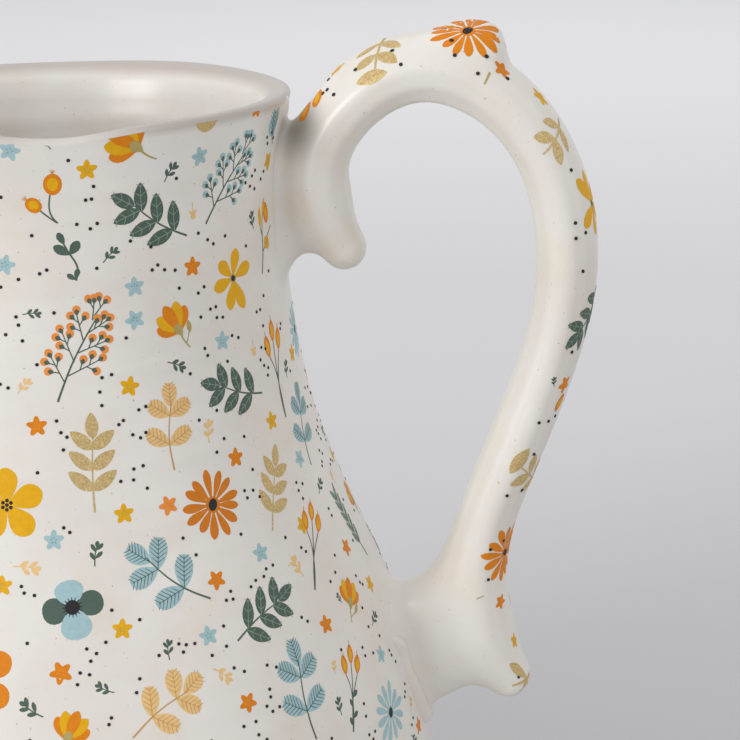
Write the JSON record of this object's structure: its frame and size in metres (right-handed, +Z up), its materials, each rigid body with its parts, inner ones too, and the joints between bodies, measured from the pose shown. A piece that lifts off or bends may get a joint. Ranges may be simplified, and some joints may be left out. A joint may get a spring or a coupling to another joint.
{
  "type": "ceramic pitcher",
  "caption": "Glazed ceramic pitcher with a low rounded belly, waisted neck, pulled pouring spout and a scroll handle luted on with slip; stands on a turned foot ring and pours liquid.",
  "frame": {"origin": "centre of the foot ring's flat face, on the vessel's axis, at table level", "axes": "+Z up along the vessel's axis, +X towards the handle, -X towards the spout"},
  "size_m": [0.2066, 0.1701, 0.2363],
  "materials": {
    "body_glaze": "satin off-white glaze over cream clay, with fired floral decals",
    "handle_glaze": "satin off-white glaze, with fired floral decals on the outer face",
    "slip_glaze": "satin off-white glaze over smoothed clay slip"
  },
  "bodies": {
    "root": {"vessel": "body_glaze", "handle": "handle_glaze", "upper_slip_joint": "slip_glaze", "lower_slip_joint": "slip_glaze"}
  },
  "joints": []
}
